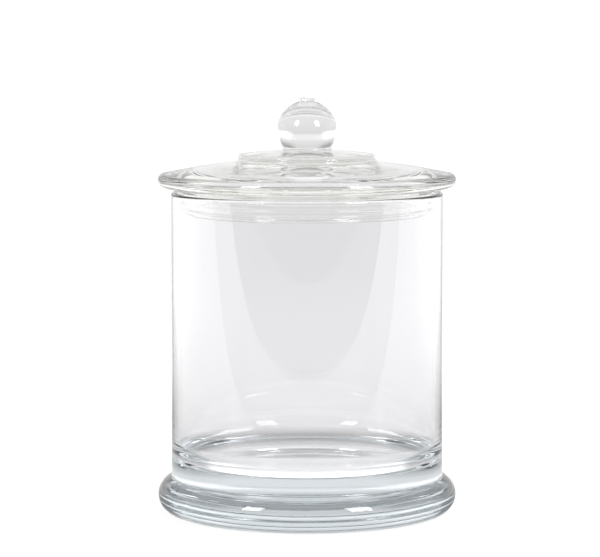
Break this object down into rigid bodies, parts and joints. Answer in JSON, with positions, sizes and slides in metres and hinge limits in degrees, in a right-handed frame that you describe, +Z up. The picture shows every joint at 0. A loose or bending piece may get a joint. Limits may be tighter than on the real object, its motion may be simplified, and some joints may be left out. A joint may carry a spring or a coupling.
{
  "type": "specimen jar",
  "caption": "Straight-sided clear glass jar with a flared bead foot and a knobbed glass lid whose plug carries a clear silicone seal.",
  "frame": {"origin": "Centre of the face that the jar stands on.", "axes": "+Z runs up the jar's axis from the foot to the knob. The jar is round, so X and Y are any two directions across it."},
  "size_m": [0.1, 0.1, 0.1392],
  "materials": {
    "jar_glass": "clear polished glass with a faint blue-green tint in its thick foot",
    "lid_glass": "clear pressed glass, slightly wavy",
    "seal_silicone": "translucent clear silicone, satin"
  },
  "bodies": {
    "jar": {"jar_body": "jar_glass"},
    "seal": {"seal_ring": "seal_silicone"},
    "lid": {"lid_disc": "lid_glass", "lid_knob": "lid_glass"}
  },
  "joints": [
    {"name": "lid_lift", "type": "slide", "parent": "jar", "child": "seal", "axis": [0, 0, 1], "range_m": [0, 0.05]},
    {"name": "lid_turn", "type": "hinge", "parent": "seal", "child": "lid", "pos_m": [0, 0, 0.1074], "axis": [0, 0, 1], "continuous": true}
  ]
}
